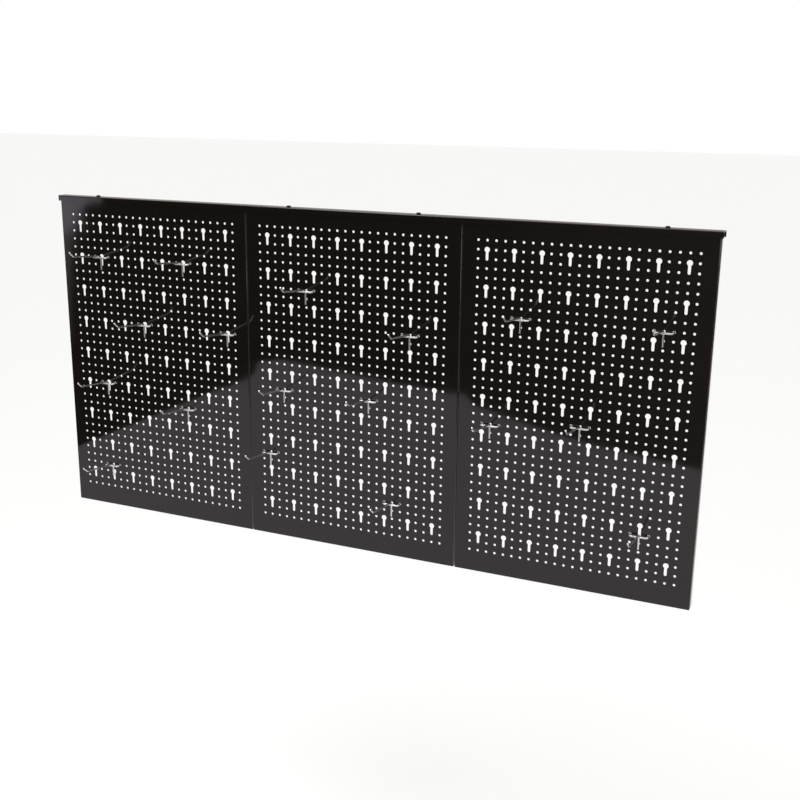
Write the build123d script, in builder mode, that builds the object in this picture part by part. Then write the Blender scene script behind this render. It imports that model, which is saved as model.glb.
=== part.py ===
from build123d import *
from math import asin, atan2, hypot, radians, tan
import os

# Pegboard tool wall: three folded perforated panels side by side under one rail, with wire hooks.
#
# All sizes are in millimetres. +X runs to the right along the wall, +Y into the wall and +Z up.
# The origin is the middle of the rail's rear face, where the rail is screwed to the wall.

# ---- driving dimensions ----------------------------------------------------------------------

# Peg pattern: a small round hole at every grid point, except that one column in three carries
# keyholes. The pattern repeats in cells of 3 columns by 4 rows.
PITCH = 15.0
CELL_COLUMNS, CELL_ROWS = 3, 4
CELLS_ACROSS, CELLS_DOWN = 8, 9
PEG_HOLE_DIAMETER = 4.2
KEYHOLE_HEAD_DIAMETER = 8.9
KEYHOLE_SLOT_WIDTH = 4.5

# Panels: folded sheet-steel trays that stand side by side.
PANEL_SPACING = 400.0
PANEL_GAP = 1.6
PANEL_HEIGHT = 596.0
PANEL_DEPTH = 20.0
PANEL_SHEET = 0.8
FOLD_DEPTH = 1.6
FOLD_RADIUS = 1.2
CORNER_RELIEF = 1.2
TOP_MARGIN = 32.5

# Rail: U-channel, open downwards, over the top edges of the panels.
RAIL_LENGTH = 1206.0
RAIL_SHEET = 1.2
RAIL_HEIGHT = 10.0
RAIL_CLEARANCE = 0.3
RAIL_FOLD_RADIUS = 1.8
WALL_SCREW_HOLE_DIAMETER = 5.0
WALL_SCREW_X = (-560.0, -200.0, 200.0, 560.0)

# Pan-head screws that hold the panels in the rail: two in the middle panel, and one in each side
# panel, in its outer half. Each panel has a pair of pilot holes.
PILOT_SPACING = 240.0
SCREW_X = (-520.0, -120.0, 120.0, 520.0)
SCREW_DIAMETER = 4.0
SCREW_LENGTH = 9.5
SCREW_HEAD_DIAMETER = 7.5
SCREW_HEAD_HEIGHT = 2.6
SCREW_HOLE_DIAMETER = 4.5
PILOT_HOLE_DIAMETER = 4.1
RECESS_LENGTH, RECESS_WIDTH, RECESS_DEPTH = 4.0, 0.9, 1.2

# Hooks: a prong wire welded over a cross wire. Heights are above the row of the two peg holes,
# and reaches are in front of the panel's face.
WIRE_DIAMETER = 3.0
LEG_STANDOFF = 0.3
LEG_BOTTOM = -24.3
BAR_REACH = 7.0
CROSS_SLOPE = 12.0
CROSS_BEND_RADIUS = 4.0
UPTURN_SETBACK = 5.6
UPTURN_TOP = 11.0
PRONG_REACH = 77.0
PRONG_RISE = 8.5
TIP_REACH = 88.5
TIP_RISE = 17.5
LEG_BEND_RADIUS = 5.0
TIP_BEND_RADIUS = 7.0
WELD_SINK = 0.2
WIRE_END_ROUND = 0.9
WIRE_END_CHAMFER = 0.4

# Hooks on each panel, as (column, row) of the point midway between the two peg holes. Columns
# count from the left and rows from the top, both from 1.
HOOK_PLACES = {
    "left": ((5, 6), (17, 6), (11, 14), (23, 14), (5, 22), (17, 24), (5, 33)),
    "middle": ((7, 8), (20, 12), (4, 20), (15, 20), (2, 28), (18, 32)),
    "right": ((6, 9), (21, 9), (3, 21), (13, 20), (20, 31)),
}

# ---- sizes and places that follow ------------------------------------------------------------

PANEL_CENTRES = {"left": -PANEL_SPACING, "middle": 0.0, "right": PANEL_SPACING}
PANEL_WIDTH = PANEL_SPACING - PANEL_GAP
PATTERN_HEIGHT = PITCH * (CELL_ROWS * CELLS_DOWN - 1)

REAR_EDGE_Y = -(RAIL_SHEET + RAIL_CLEARANCE)
FACE_Y = REAR_EDGE_Y - PANEL_DEPTH
RAIL_FRONT_Y = FACE_Y - RAIL_CLEARANCE - RAIL_SHEET
RAIL_MIDDLE_Y = RAIL_FRONT_Y / 2
RAIL_TOP_Z = RAIL_HEIGHT / 2
PANEL_TOP_Z = RAIL_TOP_Z - RAIL_SHEET
TOP_ROW_Z = PANEL_TOP_Z - TOP_MARGIN
PATTERN_MIDDLE_Z = TOP_ROW_Z - PATTERN_HEIGHT / 2
PANEL_MIDDLE_Z = PANEL_TOP_Z - PANEL_HEIGHT / 2

os.makedirs("parts", exist_ok=True)


def wall_plane(x, y, z):
    """A plane parallel to the wall that faces the room, with local X to the right and local Y up."""
    return Plane(origin=(x, y, z), x_dir=(1, 0, 0), z_dir=(0, -1, 0))


def side_plane(x, y, z):
    """An upright plane square to the wall, with local X out into the room and local Y up."""
    return Plane(origin=(x, y, z), x_dir=(0, -1, 0), z_dir=(-1, 0, 0))


# ---- panels ----------------------------------------------------------------------------------


def make_panel_face():
    """The perforated face of the middle panel, with the rounded folds along its four edges."""
    with BuildPart() as face:
        with BuildSketch(wall_plane(0, FACE_Y + FOLD_DEPTH, PANEL_MIDDLE_Z)):
            Rectangle(PANEL_WIDTH, PANEL_HEIGHT)
        extrude(amount=FOLD_DEPTH)
        fillet(face.faces().sort_by(Axis.Y)[0].edges(), radius=FOLD_RADIUS)

        with BuildSketch(wall_plane(0, FACE_Y + FOLD_DEPTH, PANEL_MIDDLE_Z)):
            Rectangle(PANEL_WIDTH - 2 * PANEL_SHEET, PANEL_HEIGHT - 2 * PANEL_SHEET)
        extrude(amount=FOLD_DEPTH - PANEL_SHEET, mode=Mode.SUBTRACT)

        with BuildSketch(wall_plane(0, FACE_Y, PATTERN_MIDDLE_Z)):
            with GridLocations(CELL_COLUMNS * PITCH, CELL_ROWS * PITCH, CELLS_ACROSS, CELLS_DOWN):
                with GridLocations(2 * PITCH, PITCH, 2, CELL_ROWS):
                    Circle(PEG_HOLE_DIAMETER / 2)
                with GridLocations(PITCH, (CELL_ROWS - 1) * PITCH, 1, 2):
                    Circle(PEG_HOLE_DIAMETER / 2)
                with Locations((0, PITCH / 2)):
                    Circle(KEYHOLE_HEAD_DIAMETER / 2)
                Rectangle(KEYHOLE_SLOT_WIDTH, PITCH)
                with Locations((0, -PITCH / 2)):
                    Circle(KEYHOLE_SLOT_WIDTH / 2)
        extrude(amount=-2 * PANEL_SHEET, mode=Mode.SUBTRACT)
    return face.part


def make_panel_flanges():
    """The four flanges of the middle panel, behind the folds, with gaps at the corners.

    The top flange has the pilot holes for the rail's screws.
    """
    flange_depth = PANEL_DEPTH - FOLD_DEPTH
    flange_width = PANEL_WIDTH - 2 * CORNER_RELIEF
    flange_height = PANEL_HEIGHT - 2 * CORNER_RELIEF
    with BuildPart() as flanges:
        with BuildSketch(wall_plane(0, REAR_EDGE_Y, PANEL_MIDDLE_Z)):
            with GridLocations(PANEL_WIDTH - PANEL_SHEET, 0, 2, 1):
                Rectangle(PANEL_SHEET, flange_height)
            with GridLocations(0, PANEL_HEIGHT - PANEL_SHEET, 1, 2):
                Rectangle(flange_width, PANEL_SHEET)
        extrude(amount=flange_depth)
        with BuildSketch(Plane.XY.offset(PANEL_TOP_Z)):
            with Locations((0, RAIL_MIDDLE_Y)):
                with GridLocations(PILOT_SPACING, 0, 2, 1):
                    Circle(PILOT_HOLE_DIAMETER / 2)
        extrude(amount=-2 * PANEL_SHEET, mode=Mode.SUBTRACT)
    return flanges.part


# A panel is one folded sheet. Its face and its flanges are separate solids that meet along the
# folds, so each stays a simple shape. The three panels are alike.
panel_solids = [*make_panel_face().solids(), *make_panel_flanges().solids()]
for side, centre_x in PANEL_CENTRES.items():
    moved_solids = [Pos(centre_x, 0, 0) * solid for solid in panel_solids]
    panel = Compound(label=f"panel_{side}", children=moved_solids)
    export_step(panel, f"parts/{panel.label}.step")

# ---- rail and its screws ---------------------------------------------------------------------

screw_places = [(screw_x, RAIL_MIDDLE_Y) for screw_x in SCREW_X]

# The rail is one folded sheet too, and is parted under its web into web, lip and rear flange.
with BuildPart() as top_rail:
    with BuildSketch(Plane.YZ.offset(-RAIL_LENGTH / 2)):
        with BuildLine():
            Polyline(
                (RAIL_FRONT_Y, -RAIL_TOP_Z),
                (RAIL_FRONT_Y, RAIL_TOP_Z),
                (0, RAIL_TOP_Z),
                (0, -RAIL_TOP_Z),
                (-RAIL_SHEET, -RAIL_TOP_Z),
                (-RAIL_SHEET, RAIL_TOP_Z - RAIL_SHEET),
                (RAIL_FRONT_Y + RAIL_SHEET, RAIL_TOP_Z - RAIL_SHEET),
                (RAIL_FRONT_Y + RAIL_SHEET, -RAIL_TOP_Z),
                close=True,
            )
        make_face()
    extrude(amount=RAIL_LENGTH)
    long_edges = top_rail.edges().filter_by(Axis.X)
    fillet(long_edges.group_by(Axis.Z)[-1], radius=RAIL_FOLD_RADIUS)
    with BuildSketch(Plane.XY.offset(RAIL_TOP_Z)):
        with Locations(*screw_places):
            Circle(SCREW_HOLE_DIAMETER / 2)
    extrude(amount=-2 * RAIL_SHEET, mode=Mode.SUBTRACT)
    with BuildSketch(wall_plane(0, 0, 0)):
        with Locations(*[(hole_x, 0) for hole_x in WALL_SCREW_X]):
            Circle(WALL_SCREW_HOLE_DIAMETER / 2)
    extrude(amount=2 * RAIL_SHEET, mode=Mode.SUBTRACT)
    split(bisect_by=Plane.XY.offset(PANEL_TOP_Z), keep=Keep.BOTH)
top_rail.part.label = "top_rail"
export_step(top_rail.part, "parts/top_rail.step")

with BuildPart() as rail_screws:
    with BuildSketch(Plane.XY.offset(RAIL_TOP_Z)):
        with Locations(*screw_places):
            Circle(SCREW_HEAD_DIAMETER / 2)
    extrude(amount=SCREW_HEAD_HEIGHT)
    fillet(rail_screws.faces().group_by(Axis.Z)[-1].edges(), radius=0.6 * SCREW_HEAD_HEIGHT)
    with BuildSketch(Plane.XY.offset(RAIL_TOP_Z)):
        with Locations(*screw_places):
            Circle(SCREW_DIAMETER / 2)
    extrude(amount=-SCREW_LENGTH)
    chamfer(rail_screws.faces().group_by(Axis.Z)[0].edges(), length=0.25 * SCREW_DIAMETER)
    with BuildSketch(Plane.XY.offset(RAIL_TOP_Z + SCREW_HEAD_HEIGHT)):
        with Locations(*screw_places):
            Rectangle(RECESS_LENGTH, RECESS_WIDTH)
            Rectangle(RECESS_WIDTH, RECESS_LENGTH)
    extrude(amount=-RECESS_DEPTH, mode=Mode.SUBTRACT)
rail_screws.part.label = "rail_screws"
export_step(rail_screws.part, "parts/rail_screws.step")

# ---- hooks -----------------------------------------------------------------------------------

LEG_REACH = WIRE_DIAMETER / 2 + LEG_STANDOFF
HOLE_REACH = -PANEL_SHEET / 2
BAR_HEIGHT = -(BAR_REACH - HOLE_REACH) * tan(radians(CROSS_SLOPE))
UPTURN_FOOT = (UPTURN_SETBACK + HOLE_REACH) * tan(radians(CROSS_SLOPE))

# The prong is straight from its bend near the tip to the leg, and rests on top of the bar.
BAR_TO_BEND = (PRONG_REACH - BAR_REACH, PRONG_RISE - BAR_HEIGHT)
WELD_ANGLE = asin((WIRE_DIAMETER - WELD_SINK) / hypot(*BAR_TO_BEND))
PRONG_SLOPE = atan2(BAR_TO_BEND[1], BAR_TO_BEND[0]) - WELD_ANGLE
LEG_TOP = PRONG_RISE - (PRONG_REACH - LEG_REACH) * tan(PRONG_SLOPE)


def make_prong_wire(hook, x, z):
    """The wire that carries the tool: leg down the face, prong into the room, upturned tip."""
    with BuildPart() as prong_wire:
        with BuildLine(side_plane(x, FACE_Y, z)) as route:
            FilletPolyline(
                (LEG_REACH, LEG_BOTTOM),
                (LEG_REACH, LEG_TOP),
                (PRONG_REACH, PRONG_RISE),
                (TIP_REACH, TIP_RISE),
                radius=(LEG_BEND_RADIUS, TIP_BEND_RADIUS),
            )
        with BuildSketch(Plane.XY.offset(z + LEG_BOTTOM)):
            with Locations((x, FACE_Y - LEG_REACH)):
                Circle(WIRE_DIAMETER / 2)
        sweep(path=route.wire())
        tip_edges = prong_wire.edges().filter_by(GeomType.CIRCLE).group_by(Axis.Z)[-1]
        fillet(tip_edges, radius=WIRE_END_ROUND)
    prong_wire.part.label = f"{hook}_prong_wire"
    export_step(prong_wire.part, f"parts/{hook}_prong_wire.step")


def make_cross_wire(hook, x, z):
    """The wire that holds the hook: bar in front, two arms through the holes, ends turned up."""
    left_x, right_x = x - PITCH, x + PITCH
    bar_y, bar_z = FACE_Y - BAR_REACH, z + BAR_HEIGHT
    foot_y, foot_z = FACE_Y + UPTURN_SETBACK, z + UPTURN_FOOT
    with BuildPart() as cross_wire:
        with BuildLine() as route:
            FilletPolyline(
                (left_x, foot_y, z + UPTURN_TOP),
                (left_x, foot_y, foot_z),
                (left_x, bar_y, bar_z),
                (right_x, bar_y, bar_z),
                (right_x, foot_y, foot_z),
                (right_x, foot_y, z + UPTURN_TOP),
                radius=CROSS_BEND_RADIUS,
            )
        with BuildSketch(Plane.XY.offset(z + UPTURN_TOP)):
            with Locations((left_x, foot_y)):
                Circle(WIRE_DIAMETER / 2)
        sweep(path=route.wire())
        chamfer(cross_wire.faces().group_by(Axis.Z)[-1].edges(), length=WIRE_END_CHAMFER)
    cross_wire.part.label = f"{hook}_cross_wire"
    export_step(cross_wire.part, f"parts/{hook}_cross_wire.step")


hook_places = [(side, place) for side, places in HOOK_PLACES.items() for place in places]
for number, (side, (column, row)) in enumerate(hook_places, start=1):
    hook_x = PANEL_CENTRES[side] + (column - (CELL_COLUMNS * CELLS_ACROSS + 1) / 2) * PITCH
    hook_z = TOP_ROW_Z - (row - 1) * PITCH
    make_prong_wire(f"hook_{number:02d}", hook_x, hook_z)
    make_cross_wire(f"hook_{number:02d}", hook_x, hook_z)
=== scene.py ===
from math import cos, pi, radians, sin

import bmesh
import bpy
from mathutils import Matrix, Vector


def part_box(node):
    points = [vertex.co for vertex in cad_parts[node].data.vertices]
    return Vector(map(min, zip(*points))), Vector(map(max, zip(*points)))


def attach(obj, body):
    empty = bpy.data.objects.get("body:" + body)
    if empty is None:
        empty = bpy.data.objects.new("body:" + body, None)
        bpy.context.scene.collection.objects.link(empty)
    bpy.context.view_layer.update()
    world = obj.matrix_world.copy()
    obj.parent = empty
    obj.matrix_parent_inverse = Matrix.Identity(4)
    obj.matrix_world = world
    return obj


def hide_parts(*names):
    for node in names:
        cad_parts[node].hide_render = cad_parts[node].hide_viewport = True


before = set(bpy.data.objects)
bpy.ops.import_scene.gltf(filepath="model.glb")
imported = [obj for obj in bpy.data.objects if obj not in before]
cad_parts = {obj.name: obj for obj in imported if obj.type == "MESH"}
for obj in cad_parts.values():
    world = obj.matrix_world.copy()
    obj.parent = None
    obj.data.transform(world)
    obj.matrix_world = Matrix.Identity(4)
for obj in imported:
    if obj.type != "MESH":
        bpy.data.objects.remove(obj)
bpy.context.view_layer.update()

MM = 0.001

# ---- sizes of the real thing, in metres ------------------------------------------------------

# The punched pattern: peg holes on a square grid, with keyholes in every third column, once in
# every four rows. TOP_MARGIN is from a panel's top edge to its first row.
PITCH = 15 * MM
COLUMNS, ROWS = 24, 36
KEYHOLE_COLUMN_STEP = 3
KEYHOLE_ROW_STEP = 4
TOP_MARGIN = 32.5 * MM
PEG_HOLE_RADIUS = 2.1 * MM
KEYHOLE_HEAD_RADIUS = 4.45 * MM
KEYHOLE_SLOT_RADIUS = 2.25 * MM
PUNCH_ROLL = 0.12 * MM

# The folded sheet: its thickness, the outer radius of a fold, and how deep the fold piece goes
# before the flange takes over, with a notch at each corner.
SHEET = 0.8 * MM
FOLD_RADIUS = 1.2 * MM
FOLD_DEPTH = 1.6 * MM
CORNER_RELIEF = 1.2 * MM
EDGE_SOFTENING = 0.15 * MM

# The resistance weld where a hook's prong rests on its bar. The two short stubs that melt
# together are a hair thinner than the wire, so only the fillet between them shows.
WIRE_RADIUS = 1.5 * MM
PRONG_SLOPE = radians(5.92)
WELD_DEPTH = 0.2 * MM
WELD_VOXEL = 0.25 * MM
STUB_RADIUS = 1.46 * MM
STUB_HALF = 2.6 * MM
PUDDLE_RADIUS = 1.0 * MM
PUDDLE_SPREAD = 1.8

# A Mix node's colour sockets. Its other sockets have the same names, so these go by number.
MIX_A, MIX_B, MIX_RESULT = 6, 7, 2

# ---- small helpers ---------------------------------------------------------------------------


def linear(hex_colour):
    """An sRGB hex colour as linear RGBA."""
    channels = [int(hex_colour[i : i + 2], 16) / 255 for i in (1, 3, 5)]
    curve = [c / 12.92 if c <= 0.04045 else ((c + 0.055) / 1.055) ** 2.4 for c in channels]
    return (*curve, 1.0)


def add_node(tree, kind, inputs=(), **settings):
    """Adds a node. Each input is (socket, value), and a value that is a node's output is linked."""
    node = tree.nodes.new(kind)
    for name, value in settings.items():
        setattr(node, name, value)
    for socket, value in inputs:
        if isinstance(value, bpy.types.NodeSocket):
            tree.links.new(value, node.inputs[socket])
        else:
            node.inputs[socket].default_value = value
    return node


def new_object(name, vertices, faces):
    """A mesh object with its place in its mesh."""
    mesh = bpy.data.meshes.new(name)
    mesh.from_pydata(vertices, [], faces)
    mesh.update()
    made = bpy.data.objects.new(name, mesh)
    bpy.context.scene.collection.objects.link(made)
    return made


def made_plain(piece):
    """The piece with its modifiers baked into a plain mesh."""
    graph = bpy.context.evaluated_depsgraph_get()
    mesh = bpy.data.meshes.new_from_object(piece.evaluated_get(graph))
    piece.modifiers.clear()
    piece.data = mesh
    mesh.name = piece.name
    return piece


# ---- materials -------------------------------------------------------------------------------


def make_black_enamel():
    """Stoved gloss enamel on folded sheet steel: near black, with mirror-like reflections.

    The sheet's own slight waviness bends long reflections, orange peel breaks up their edges, and
    a film of dust makes some areas a touch duller than others.
    """
    material = bpy.data.materials.new("stoved_black_enamel")
    material.use_nodes = True
    tree = material.node_tree
    shader = tree.nodes["Principled BSDF"]
    place = add_node(tree, "ShaderNodeTexCoord").outputs["Object"]

    dust_patch = 60 * MM
    dust = add_node(
        tree,
        "ShaderNodeTexNoise",
        [("Vector", place), ("Scale", 1 / dust_patch), ("Detail", 6.0), ("Roughness", 0.65)],
    )
    dulling = add_node(
        tree,
        "ShaderNodeMapRange",
        [
            ("Value", dust.outputs["Fac"]),
            ("From Min", 0.35),
            ("From Max", 0.75),
            ("To Min", 0.035),
            ("To Max", 0.085),
        ],
    )
    tone = add_node(
        tree,
        "ShaderNodeMix",
        [("Factor", dust.outputs["Fac"]), (MIX_A, linear("#0d0a08")), (MIX_B, linear("#110d0b"))],
        data_type="RGBA",
    )

    sheet_wave = 220 * MM
    wave_height = 0.35 * MM
    oil_canning = add_node(
        tree,
        "ShaderNodeTexNoise",
        [("Vector", place), ("Scale", 1 / sheet_wave), ("Detail", 1.0), ("Roughness", 0.3)],
    )
    sheet_bump = add_node(
        tree,
        "ShaderNodeBump",
        [("Height", oil_canning.outputs["Fac"]), ("Strength", 1.0), ("Distance", wave_height)],
    )
    peel_cell = 3.0 * MM
    peel_height = 0.003 * MM
    orange_peel = add_node(
        tree, "ShaderNodeTexNoise", [("Vector", place), ("Scale", 1 / peel_cell), ("Detail", 2.0)]
    )
    peel_bump = add_node(
        tree,
        "ShaderNodeBump",
        [
            ("Height", orange_peel.outputs["Fac"]),
            ("Strength", 1.0),
            ("Distance", peel_height),
            ("Normal", sheet_bump.outputs["Normal"]),
        ],
    )
    shader.inputs["IOR"].default_value = 1.5
    tree.links.new(tone.outputs[MIX_RESULT], shader.inputs["Base Color"])
    tree.links.new(dulling.outputs["Result"], shader.inputs["Roughness"])
    tree.links.new(peel_bump.outputs["Normal"], shader.inputs["Normal"])
    return material


def make_plated_wire():
    """Bright zinc-plated drawn steel wire: light grey metal that blurs what it reflects a little."""
    material = bpy.data.materials.new("bright_plated_wire")
    material.use_nodes = True
    tree = material.node_tree
    shader = tree.nodes["Principled BSDF"]
    place = add_node(tree, "ShaderNodeTexCoord").outputs["Object"]
    plating_cloud = 4.0 * MM
    cloud = add_node(
        tree, "ShaderNodeTexNoise", [("Vector", place), ("Scale", 1 / plating_cloud), ("Detail", 4.0)]
    )
    roughness = add_node(
        tree,
        "ShaderNodeMapRange",
        [
            ("Value", cloud.outputs["Fac"]),
            ("From Min", 0.3),
            ("From Max", 0.7),
            ("To Min", 0.26),
            ("To Max", 0.36),
        ],
    )
    tone = add_node(
        tree,
        "ShaderNodeMix",
        [("Factor", cloud.outputs["Fac"]), (MIX_A, linear("#dcdddf")), (MIX_B, linear("#eeeeef"))],
        data_type="RGBA",
    )
    die_mark = 0.8 * MM
    mark_depth = 0.004 * MM
    drawing = add_node(
        tree, "ShaderNodeTexNoise", [("Vector", place), ("Scale", 1 / die_mark), ("Detail", 3.0)]
    )
    bump = add_node(
        tree,
        "ShaderNodeBump",
        [("Height", drawing.outputs["Fac"]), ("Strength", 1.0), ("Distance", mark_depth)],
    )
    shader.inputs["Metallic"].default_value = 1.0
    tree.links.new(tone.outputs[MIX_RESULT], shader.inputs["Base Color"])
    tree.links.new(roughness.outputs["Result"], shader.inputs["Roughness"])
    tree.links.new(bump.outputs["Normal"], shader.inputs["Normal"])
    return material


def make_blackened_steel():
    """Black-plated steel screws: dark, satin, with a little lighter metal showing through in a fine
    random grain.
    """
    material = bpy.data.materials.new("black_zinc_screw_steel")
    material.use_nodes = True
    tree = material.node_tree
    shader = tree.nodes["Principled BSDF"]
    place = add_node(tree, "ShaderNodeTexCoord").outputs["Object"]
    plating_grain = 1.2 * MM
    grain = add_node(
        tree, "ShaderNodeTexNoise", [("Vector", place), ("Scale", 1 / plating_grain), ("Detail", 4.0)]
    )
    tone = add_node(
        tree,
        "ShaderNodeMix",
        [("Factor", grain.outputs["Fac"]), (MIX_A, linear("#232325")), (MIX_B, linear("#4a4a4e"))],
        data_type="RGBA",
    )
    roughness = add_node(
        tree,
        "ShaderNodeMapRange",
        [("Value", grain.outputs["Fac"]), ("To Min", 0.28), ("To Max", 0.5)],
    )
    shader.inputs["Metallic"].default_value = 1.0
    tree.links.new(tone.outputs[MIX_RESULT], shader.inputs["Base Color"])
    tree.links.new(roughness.outputs["Result"], shader.inputs["Roughness"])
    return material


def make_pale_paper():
    """Matt studio paper for the floor."""
    material = bpy.data.materials.new("pale_studio_paper")
    material.use_nodes = True
    shader = material.node_tree.nodes["Principled BSDF"]
    shader.inputs["Base Color"].default_value = linear("#f8f8f7")
    shader.inputs["Roughness"].default_value = 0.9
    shader.inputs["Specular IOR Level"].default_value = 0.2
    return material


def make_card_light(name, colour, low_strength, high_strength, low_z, high_z):
    """A lit card that shows only in reflections, as bright as given at two heights."""
    material = bpy.data.materials.new(name)
    material.use_nodes = True
    tree = material.node_tree
    tree.nodes.clear()
    place = add_node(tree, "ShaderNodeTexCoord").outputs["Object"]
    height = add_node(tree, "ShaderNodeSeparateXYZ", [(0, place)]).outputs["Z"]
    strength = add_node(
        tree,
        "ShaderNodeMapRange",
        [
            ("Value", height),
            ("From Min", low_z),
            ("From Max", high_z),
            ("To Min", low_strength),
            ("To Max", high_strength),
        ],
    ).outputs["Result"]
    glow = add_node(
        tree, "ShaderNodeEmission", [("Color", linear(colour)), ("Strength", strength)]
    )
    add_node(tree, "ShaderNodeOutputMaterial", [("Surface", glow.outputs["Emission"])])
    return material


black_enamel = make_black_enamel()
plated_wire = make_plated_wire()
blackened_steel = make_blackened_steel()

# ---- panels ----------------------------------------------------------------------------------


def make_perforating_tree():
    """Geometry Nodes that close a folded rim with a perforated face, punched from the front."""
    tree = bpy.data.node_groups.new("perforated_face", "GeometryNodeTree")
    face = tree.interface
    face.new_socket("Geometry", in_out="INPUT", socket_type="NodeSocketGeometry")
    for name in ("Columns", "Rows", "Hole Segments"):
        face.new_socket(name, in_out="INPUT", socket_type="NodeSocketInt")
    for name in (
        "Pitch",
        "Peg Hole Radius",
        "Keyhole Head Radius",
        "Keyhole Slot Radius",
        "Punch Roll",
        "Sheet",
        "Face Width",
        "Face Height",
        "Pattern Rise",
    ):
        face.new_socket(name, in_out="INPUT", socket_type="NodeSocketFloat")
    face.new_socket("Face Centre", in_out="INPUT", socket_type="NodeSocketVector")
    face.new_socket("Enamel", in_out="INPUT", socket_type="NodeSocketMaterial")
    face.new_socket("Geometry", in_out="OUTPUT", socket_type="NodeSocketGeometry")
    given = add_node(tree, "NodeGroupInput").outputs

    def maths(operation, *values):
        return add_node(
            tree, "ShaderNodeMath", list(enumerate(values)), operation=operation
        ).outputs[0]

    def vector(x, y, z):
        return add_node(tree, "ShaderNodeCombineXYZ", [(0, x), (1, y), (2, z)]).outputs[0]

    def joined(*parts):
        join = add_node(tree, "GeometryNodeJoinGeometry")
        for part in parts:
            tree.links.new(part, join.inputs[0])
        return join.outputs[0]

    # The peg pattern's grid points, with their column and row counted from the top left.
    span_x = maths("MULTIPLY", maths("SUBTRACT", given["Columns"], 1.0), given["Pitch"])
    span_y = maths("MULTIPLY", maths("SUBTRACT", given["Rows"], 1.0), given["Pitch"])
    grid = add_node(
        tree,
        "GeometryNodeMeshGrid",
        [
            ("Size X", span_x),
            ("Size Y", span_y),
            ("Vertices X", given["Columns"]),
            ("Vertices Y", given["Rows"]),
        ],
    ).outputs["Mesh"]
    position = add_node(tree, "GeometryNodeInputPosition").outputs[0]
    across = add_node(tree, "ShaderNodeSeparateXYZ", [(0, position)])
    from_left = maths("ADD", across.outputs["X"], maths("MULTIPLY", span_x, 0.5))
    from_top = maths("SUBTRACT", maths("MULTIPLY", span_y, 0.5), across.outputs["Y"])
    column = maths("ROUND", maths("DIVIDE", from_left, given["Pitch"]))
    row = maths("ROUND", maths("DIVIDE", from_top, given["Pitch"]))

    def is_equal(value, target):
        return add_node(
            tree, "FunctionNodeCompare", [(0, value), (1, target), ("Epsilon", 0.1)], operation="EQUAL"
        ).outputs[0]

    def logic(operation, a, b):
        return add_node(
            tree, "FunctionNodeBooleanMath", [(0, a), (1, b)], operation=operation
        ).outputs[0]

    # A keyhole's head takes the place of one peg hole, and its slot that of the hole below it.
    keyhole_column = is_equal(maths("MODULO", column, KEYHOLE_COLUMN_STEP), 1.0)
    keyhole_row = maths("MODULO", row, KEYHOLE_ROW_STEP)
    at_head = logic("AND", keyhole_column, is_equal(keyhole_row, 1.0))
    at_slot = logic("AND", keyhole_column, is_equal(keyhole_row, 2.0))
    plain = logic("NOR", at_head, at_slot)

    def outlines(growth):
        """Every hole's outline, grown by growth all round, as flat closed curves."""
        peg_radius = maths("ADD", given["Peg Hole Radius"], growth)
        peg = add_node(
            tree,
            "GeometryNodeCurvePrimitiveCircle",
            [("Resolution", given["Hole Segments"]), ("Radius", peg_radius)],
        ).outputs["Curve"]

        head_radius = maths("ADD", given["Keyhole Head Radius"], growth)
        slot_radius = maths("ADD", given["Keyhole Slot Radius"], growth)
        mouth = maths("ARCSINE", maths("DIVIDE", slot_radius, head_radius))
        head = add_node(
            tree,
            "GeometryNodeCurveArc",
            [
                ("Resolution", given["Hole Segments"]),
                ("Radius", head_radius),
                ("Start Angle", maths("SUBTRACT", mouth, pi / 2)),
                ("Sweep Angle", maths("SUBTRACT", 2 * pi, maths("MULTIPLY", mouth, 2.0))),
            ],
        ).outputs["Curve"]
        slot = add_node(
            tree,
            "GeometryNodeCurveArc",
            [
                ("Resolution", maths("MULTIPLY", given["Hole Segments"], 0.5)),
                ("Radius", slot_radius),
                ("Start Angle", pi),
                ("Sweep Angle", pi),
            ],
        ).outputs["Curve"]
        one_down = vector(0.0, maths("MULTIPLY", given["Pitch"], -1.0), 0.0)
        slot = add_node(
            tree, "GeometryNodeTransform", [("Geometry", slot), ("Translation", one_down)]
        ).outputs[0]

        # The head's points and then the slot's, strung in that order on one closed line.
        after_head = 1000.0
        ordered = []
        index = add_node(tree, "GeometryNodeInputIndex").outputs[0]
        for arc, first in ((head, 0.0), (slot, after_head)):
            points = add_node(tree, "GeometryNodeCurveToPoints", [("Curve", arc)], mode="EVALUATED")
            numbered = add_node(
                tree,
                "GeometryNodeStoreNamedAttribute",
                [
                    ("Geometry", points.outputs["Points"]),
                    ("Name", "order"),
                    ("Value", maths("ADD", index, first)),
                ],
                data_type="FLOAT",
                domain="POINT",
            )
            ordered.append(numbered.outputs[0])
        order = add_node(
            tree, "GeometryNodeInputNamedAttribute", [("Name", "order")], data_type="FLOAT"
        ).outputs[0]
        keyhole = add_node(
            tree, "GeometryNodePointsToCurves", [("Points", joined(*ordered)), ("Weight", order)]
        ).outputs[0]
        keyhole = add_node(
            tree, "GeometryNodeSetSplineCyclic", [("Geometry", keyhole), ("Cyclic", True)]
        ).outputs[0]

        placed = []
        for chosen, outline in ((plain, peg), (at_head, keyhole)):
            points = add_node(
                tree, "GeometryNodeMeshToPoints", [("Mesh", grid), ("Selection", chosen)]
            ).outputs[0]
            copies = add_node(
                tree, "GeometryNodeInstanceOnPoints", [("Points", points), ("Instance", outline)]
            )
            placed.append(copies.outputs[0])
        lifted = add_node(
            tree,
            "GeometryNodeTransform",
            [("Geometry", joined(*placed)), ("Translation", vector(0.0, given["Pattern Rise"], 0.0))],
        ).outputs[0]
        return add_node(tree, "GeometryNodeRealizeInstances", [("Geometry", lifted)]).outputs[0]

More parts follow.
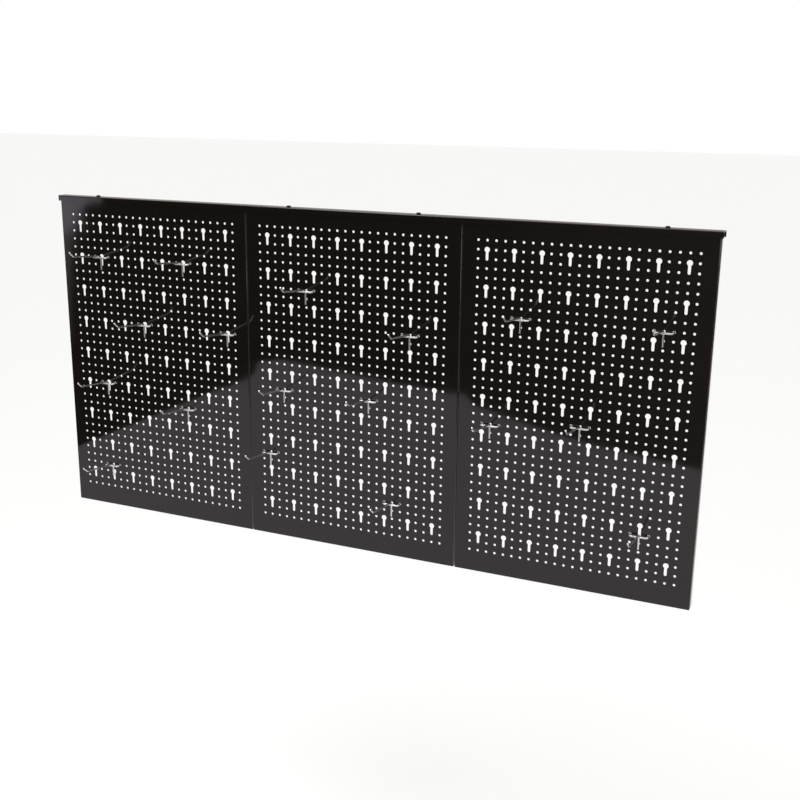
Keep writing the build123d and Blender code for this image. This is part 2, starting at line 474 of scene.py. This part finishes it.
    # The flat front, with every hole as wide as its rolled edge.
    border = add_node(
        tree,
        "GeometryNodeCurvePrimitiveQuadrilateral",
        [("Width", given["Face Width"]), ("Height", given["Face Height"])],
    ).outputs["Curve"]
    wide_outlines = outlines(given["Punch Roll"])
    front = add_node(
        tree, "GeometryNodeFillCurve", [("Curve", joined(border, wide_outlines))], mode="TRIANGLES"
    ).outputs[0]

    # A hole's rim is the open edges that are not on the face's own border.
    open_edge = is_equal(add_node(tree, "GeometryNodeInputMeshEdgeNeighbors").outputs[0], 1.0)
    just_under_half = 0.4999
    half_width = maths("MULTIPLY", given["Face Width"], just_under_half)
    half_height = maths("MULTIPLY", given["Face Height"], just_under_half)
    inside_x = maths("LESS_THAN", maths("ABSOLUTE", across.outputs["X"]), half_width)
    inside_y = maths("LESS_THAN", maths("ABSOLUTE", across.outputs["Y"]), half_height)
    rim = logic("AND", open_edge, logic("AND", inside_x, inside_y))

    # Each rim rolls in and back to the punched size, and goes on through the sheet as a wall.
    rolled = add_node(
        tree,
        "GeometryNodeExtrudeMesh",
        [("Mesh", front), ("Selection", rim), ("Offset Scale", 0.0)],
        mode="EDGES",
    )
    punched = add_node(
        tree, "GeometryNodeCurveToPoints", [("Curve", outlines(0.0))], mode="EVALUATED"
    ).outputs["Points"]
    nearest = add_node(
        tree, "GeometryNodeSampleNearest", [("Geometry", punched), ("Sample Position", position)]
    )
    punched_place = add_node(
        tree,
        "GeometryNodeSampleIndex",
        [("Geometry", punched), ("Value", position), ("Index", nearest.outputs[0])],
        data_type="FLOAT_VECTOR",
    ).outputs[0]
    drop = vector(0.0, 0.0, maths("MULTIPLY", given["Punch Roll"], -1.0))
    sunk = add_node(
        tree,
        "GeometryNodeSetPosition",
        [
            ("Geometry", rolled.outputs["Mesh"]),
            ("Selection", rolled.outputs["Top"]),
            ("Position", punched_place),
            ("Offset", drop),
        ],
    ).outputs[0]
    wall_depth = maths("SUBTRACT", given["Punch Roll"], given["Sheet"])
    walls = add_node(
        tree,
        "GeometryNodeExtrudeMesh",
        [
            ("Mesh", sunk),
            ("Selection", rolled.outputs["Top"]),
            ("Offset", vector(0.0, 0.0, wall_depth)),
            ("Offset Scale", 1.0),
        ],
        mode="EDGES",
    ).outputs["Mesh"]

    # The flat back, with every hole at its punched size.
    back = add_node(
        tree, "GeometryNodeFillCurve", [("Curve", joined(border, outlines(0.0)))], mode="TRIANGLES"
    ).outputs[0]
    back = add_node(tree, "GeometryNodeFlipFaces", [("Mesh", back)]).outputs[0]
    behind = vector(0.0, 0.0, maths("MULTIPLY", given["Sheet"], -1.0))
    back = add_node(
        tree, "GeometryNodeTransform", [("Geometry", back), ("Translation", behind)]
    ).outputs[0]

    # Stood up in the panel's place, joined to the folded rim and enamelled.
    stood = add_node(
        tree,
        "GeometryNodeTransform",
        [
            ("Geometry", joined(walls, back)),
            ("Translation", given["Face Centre"]),
            ("Rotation", (pi / 2, 0.0, 0.0)),
        ],
    ).outputs[0]
    merge_distance = 0.004 * MM
    merged = add_node(
        tree,
        "GeometryNodeMergeByDistance",
        [("Geometry", joined(given["Geometry"], stood)), ("Distance", merge_distance)],
    ).outputs[0]

    # The flat front and back stay flat-shaded. The rolled rims and the folds are smooth.
    normal = add_node(tree, "GeometryNodeInputNormal").outputs[0]
    facing = add_node(tree, "ShaderNodeSeparateXYZ", [(0, normal)]).outputs["Y"]
    straight_on = 0.999
    curved = maths("LESS_THAN", maths("ABSOLUTE", facing), straight_on)
    shaded = add_node(
        tree, "GeometryNodeSetShadeSmooth", [("Geometry", merged), ("Shade Smooth", curved)]
    ).outputs[0]
    real = add_node(tree, "GeometryNodeRealizeInstances", [("Geometry", shaded)]).outputs[0]
    painted = add_node(
        tree, "GeometryNodeSetMaterial", [("Geometry", real), ("Material", given["Enamel"])]
    ).outputs[0]
    add_node(tree, "NodeGroupOutput", [("Geometry", painted)])
    return tree


def make_folded_rim(name, low, high):
    """A panel's rounded folds and the four flanges behind them, open where the face goes."""
    # The fold in section, as (inset from the edge, depth from the face).
    steps = 6
    angles = [i * pi / 2 / steps for i in range(steps + 1)]
    inner_radius = FOLD_RADIUS - SHEET
    outer = [(FOLD_RADIUS * (1 - sin(a)), FOLD_RADIUS * (1 - cos(a))) for a in angles]
    inner = [
        (FOLD_RADIUS - inner_radius * sin(a), FOLD_RADIUS - inner_radius * cos(a))
        for a in reversed(angles)
    ]
    profile = [*outer, (0.0, FOLD_DEPTH), (SHEET, FOLD_DEPTH), *inner]
    vertices, faces = [], []
    for inset, depth in profile:
        vertices += [
            (low.x + inset, low.y + depth, low.z + inset),
            (high.x - inset, low.y + depth, low.z + inset),
            (high.x - inset, low.y + depth, high.z - inset),
            (low.x + inset, low.y + depth, high.z - inset),
        ]
    for ring in range(len(profile) - 1):
        for side in range(4):
            a, b = 4 * ring + side, 4 * ring + (side + 1) % 4
            faces.append((a, a + 4, b + 4, b))

    # A flange in section, as (inset from the edge, depth from the face).
    rear = high.y - low.y
    flange = [
        (0.0, FOLD_DEPTH),
        (0.0, rear - EDGE_SOFTENING),
        (EDGE_SOFTENING, rear),
        (SHEET - EDGE_SOFTENING, rear),
        (SHEET, rear - EDGE_SOFTENING),
        (SHEET, FOLD_DEPTH),
    ]
    count = len(flange)
    ends = {
        "bottom": lambda inset, depth, end: (end, low.y + depth, low.z + inset),
        "right": lambda inset, depth, end: (high.x - inset, low.y + depth, end),
        "top": lambda inset, depth, end: (end, low.y + depth, high.z - inset),
        "left": lambda inset, depth, end: (low.x + inset, low.y + depth, end),
    }
    for side, place in ends.items():
        upright = side in ("left", "right")
        near, far = (low.z, high.z) if upright else (low.x, high.x)
        if side in ("top", "left"):
            near, far = far, near
        relief = CORNER_RELIEF if far > near else -CORNER_RELIEF
        base = len(vertices)
        vertices += [place(*point, near + relief) for point in flange]
        vertices += [place(*point, far - relief) for point in flange]
        for i in range(count):
            j = (i + 1) % count
            faces.append((base + i, base + i + count, base + j + count, base + j))
        faces.append(tuple(base + i for i in range(count)))
        faces.append(tuple(base + count + i for i in reversed(range(count))))
    return new_object(name, vertices, faces)


def make_panel(side, tree):
    """A panel's visible sheet: folded rim, flanges and perforated face."""
    low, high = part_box(f"panel_{side}")
    middle_x, middle_z = (low.x + high.x) / 2, (low.z + high.z) / 2
    top_row = high.z - TOP_MARGIN
    pattern_middle = top_row - (ROWS - 1) * PITCH / 2
    panel = make_folded_rim(f"perforated_panel_{side}", low, high)
    sizes = {
        "Columns": COLUMNS,
        "Rows": ROWS,
        "Hole Segments": 24,
        "Pitch": PITCH,
        "Peg Hole Radius": PEG_HOLE_RADIUS,
        "Keyhole Head Radius": KEYHOLE_HEAD_RADIUS,
        "Keyhole Slot Radius": KEYHOLE_SLOT_RADIUS,
        "Punch Roll": PUNCH_ROLL,
        "Sheet": SHEET,
        "Face Width": high.x - low.x - 2 * FOLD_RADIUS,
        "Face Height": high.z - low.z - 2 * FOLD_RADIUS,
        "Pattern Rise": pattern_middle - middle_z,
        "Face Centre": (middle_x, low.y, middle_z),
        "Enamel": black_enamel,
    }
    modifier = panel.modifiers.new("perforated_face", "NODES")
    modifier.node_group = tree
    for item in tree.interface.items_tree:
        if item.in_out == "INPUT" and item.name in sizes:
            modifier[item.identifier] = sizes[item.name]
    panel.update_tag()
    made_plain(panel)
    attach(panel, "wall_board")
    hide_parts(f"panel_{side}")


perforating_tree = make_perforating_tree()
for panel_side in ("left", "middle", "right"):
    make_panel(panel_side, perforating_tree)

# ---- rail, screws and hooks ------------------------------------------------------------------

for name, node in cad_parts.items():
    if name.startswith("hook_"):
        finish = plated_wire
    elif name == "rail_screws":
        finish = blackened_steel
    else:
        finish = black_enamel
    for material_slot in node.material_slots:
        material_slot.material = finish


def add_stub(shape, centre, turn):
    """Adds a short rod of wire to a bmesh, turned from upright to lie along its wire."""
    bmesh.ops.create_cone(
        shape,
        cap_ends=True,
        segments=24,
        radius1=STUB_RADIUS,
        radius2=STUB_RADIUS,
        depth=2 * STUB_HALF,
        matrix=Matrix.Translation(centre) @ turn,
    )


def make_weld_shape():
    """The fillet where prong and bar have melted together, with the bar's axis through the origin."""
    shape = bmesh.new()
    gap = 2 * WIRE_RADIUS - WELD_DEPTH
    above = Vector((0.0, gap * sin(PRONG_SLOPE), gap * cos(PRONG_SLOPE)))
    add_stub(shape, Vector((0.0, 0.0, 0.0)), Matrix.Rotation(pi / 2, 4, "Y"))
    add_stub(shape, above, Matrix.Rotation(pi / 2 - PRONG_SLOPE, 4, "X"))
    puddle = Matrix.Translation(above / 2) @ Matrix.Diagonal((PUDDLE_SPREAD, PUDDLE_SPREAD, 1.0, 1.0))
    bmesh.ops.create_icosphere(shape, subdivisions=3, radius=PUDDLE_RADIUS, matrix=puddle)
    mesh = bpy.data.meshes.new("weld_shape")
    shape.to_mesh(mesh)
    shape.free()
    weld = bpy.data.objects.new("weld_shape", mesh)
    bpy.context.scene.collection.objects.link(weld)
    remesh = weld.modifiers.new("melt_together", "REMESH")
    remesh.mode = "VOXEL"
    remesh.voxel_size = WELD_VOXEL
    remesh.use_smooth_shade = True
    flow = weld.modifiers.new("flow", "SMOOTH")
    flow.factor = 0.5
    flow.iterations = 8
    melted = made_plain(weld).data
    bpy.data.objects.remove(weld)
    return melted


# Each bar lies at the front and bottom of its own box, so its axis is a wire's radius in.
weld_shape = make_weld_shape()
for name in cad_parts:
    if name.endswith("_cross_wire"):
        low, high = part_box(name)
        hook = name.removesuffix("_cross_wire")
        crossing = Vector(((low.x + high.x) / 2, low.y + WIRE_RADIUS, low.z + WIRE_RADIUS))
        weld = bpy.data.objects.new(f"{hook}_weld", weld_shape.copy())
        weld.data.transform(Matrix.Translation(crossing))
        weld.data.materials.append(plated_wire)
        bpy.context.scene.collection.objects.link(weld)
        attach(weld, hook)

# ---- floor, light and camera -----------------------------------------------------------------

board_low, board_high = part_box("panel_middle")
board_centre = Vector((0.0, board_low.y, (board_low.z + board_high.z) / 2))

FLOOR_DROP = 0.9
FLOOR_REACH = 40.0
floor_height = board_low.z - FLOOR_DROP
floor = new_object(
    "studio_floor",
    [
        (-FLOOR_REACH, -FLOOR_REACH, floor_height),
        (FLOOR_REACH, -FLOOR_REACH, floor_height),
        (FLOOR_REACH, FLOOR_REACH, floor_height),
        (-FLOOR_REACH, FLOOR_REACH, floor_height),
    ],
    [(0, 1, 2, 3)],
)
floor.data.materials.append(make_pale_paper())
floor.visible_glossy = False

# Things round the board that show only in its enamel: a white table top in front, a pale doorway
# to the left and a lit corner above it. Each is a flat card, given by its corners in metres.
TABLE_DROP = 0.058
TABLE_HEIGHT = board_low.z - TABLE_DROP
SIDE_DISTANCE = -3.0


def add_reflected_card(name, corners, light):
    """A flat card that neither the camera nor the diffuse light sees."""
    card = new_object(name, corners, [tuple(range(len(corners)))])
    card.data.materials.append(light)
    card.visible_camera = False
    card.visible_diffuse = False
    card.visible_shadow = False


table_outline = [
    (-0.95, 0.10),
    (-0.95, -0.45),
    (-0.94, -1.19),
    (-0.96, -1.28),
    (-1.03, -1.42),
    (-0.985, -1.49),
    (-0.31, -1.315),
    (-0.27, -1.33),
    (-0.20, -1.23),
    (0.0, -1.11),
    (0.19, -1.01),
    (0.455, -0.93),
    (1.30, -0.60),
    (1.30, 0.10),
]
add_reflected_card(
    "reflected_table",
    [(x, y, TABLE_HEIGHT) for x, y in table_outline],
    make_card_light("reflected_white_table", "#fff7fd", 0.92, 0.92, -1.0, 0.0),
)

doorway_outline = [
    (-2.4, -0.48),
    (-2.885, -0.488),
    (-2.83, -1.05),
    (-2.4, -1.05),
]
add_reflected_card(
    "reflected_doorway",
    [(SIDE_DISTANCE, y, z) for y, z in doorway_outline],
    make_card_light("reflected_pale_doorway", "#fff4ec", 0.25, 0.82, -1.03, -0.49),
)

corner_outline = [
    (-2.4, -0.475),
    (-2.895, -0.488),
    (-3.0, -0.350),
    (-3.15, -0.352),
    (-3.15, -0.33),
    (-2.4, -0.2),
]
add_reflected_card(
    "reflected_lit_corner",
    [(SIDE_DISTANCE, y, z) for y, z in corner_outline],
    make_card_light("reflected_lit_corner", "#f8efff", 1.7, 1.7, -0.5, -0.2),
)


def make_world():
    """A white studio to the eye. In reflections, a dim room with light beside, above and behind."""
    world = bpy.data.worlds.new("studio")
    bpy.context.scene.world = world
    world.use_nodes = True
    tree = world.node_tree
    tree.nodes.clear()
    direction = add_node(tree, "ShaderNodeTexCoord").outputs["Generated"]
    heading = add_node(tree, "ShaderNodeSeparateXYZ", [(0, direction)]).outputs

    def ramp(axis, start, end, low, high):
        """A brightness that goes from low to high as a direction's component goes start to end."""
        return add_node(
            tree,
            "ShaderNodeMapRange",
            [
                ("Value", heading[axis]),
                ("From Min", start),
                ("From Max", end),
                ("To Min", low),
                ("To Max", high),
            ],
            interpolation_type="SMOOTHSTEP",
        ).outputs["Result"]

    def combined(operation, a, b):
        return add_node(tree, "ShaderNodeMath", [(0, a), (1, b)], operation=operation).outputs[0]

    behind = combined("MULTIPLY", ramp("Y", 0.1, 0.5, 0.0, 1.0), ramp("Z", 0.0, 0.12, 1.0, 0.4))
    left = ramp("X", -0.70, -0.82, 0.0, 0.6)
    overhead = ramp("Z", 0.45, 0.75, 0.0, 1.4)
    in_front = ramp("X", -0.42, -0.1, 0.05, 0.14)
    around = combined("MAXIMUM", behind, left)
    room = combined("MAXIMUM", around, combined("MAXIMUM", overhead, in_front))
    studio = add_node(
        tree, "ShaderNodeBackground", [("Color", linear("#fff6ee")), ("Strength", room)]
    )
    white = add_node(
        tree, "ShaderNodeBackground", [("Color", linear("#ffffff")), ("Strength", 1.0)]
    )
    path = add_node(tree, "ShaderNodeLightPath")
    mix = add_node(
        tree,
        "ShaderNodeMixShader",
        [(0, path.outputs["Is Glossy Ray"]), (1, white.outputs[0]), (2, studio.outputs[0])],
    )
    add_node(tree, "ShaderNodeOutputWorld", [("Surface", mix.outputs[0])])


def add_softbox(name, place, size, watts):
    """A soft square light that faces the board's middle."""
    light = bpy.data.lights.new(name, "AREA")
    light.size = size
    light.energy = watts
    softbox = bpy.data.objects.new(name, light)
    bpy.context.scene.collection.objects.link(softbox)
    softbox.location = place
    softbox.rotation_euler = (board_centre - Vector(place)).to_track_quat("-Z", "Y").to_euler()
    softbox.visible_camera = False


make_world()
add_softbox("key_softbox", (-1.2, -1.6, 2.2), 1.0, 25.0)
add_softbox("fill_softbox", (1.9, -1.2, 1.6), 0.8, 12.0)

# The camera, which turns about a point near the board's middle.
VIEW_AZIMUTH = radians(23.642)
VIEW_ELEVATION = radians(15.094)
VIEW_ROLL = radians(0.681)
VIEW_DISTANCE = 1.87475
VIEW_TARGET = board_centre + Vector((0.0954, 0.0, -0.0128))
LENS_LENGTH = 49.87
FILM_WIDTH = 36.0

camera_data = bpy.data.cameras.new("camera")
camera_data.lens = LENS_LENGTH
camera_data.sensor_width = FILM_WIDTH
camera_data.clip_end = 100.0
camera = bpy.data.objects.new("camera", camera_data)
bpy.context.scene.collection.objects.link(camera)
towards_eye = Vector(
    (
        sin(VIEW_AZIMUTH) * cos(VIEW_ELEVATION),
        -cos(VIEW_AZIMUTH) * cos(VIEW_ELEVATION),
        sin(VIEW_ELEVATION),
    )
)
view_turn = towards_eye.to_track_quat("Z", "Y").to_matrix() @ Matrix.Rotation(VIEW_ROLL, 3, "Z")
eye = VIEW_TARGET + VIEW_DISTANCE * towards_eye
camera.matrix_world = Matrix.Translation(eye) @ view_turn.to_4x4()
bpy.context.scene.camera = camera
bpy.context.scene.view_settings.view_transform = "Standard"
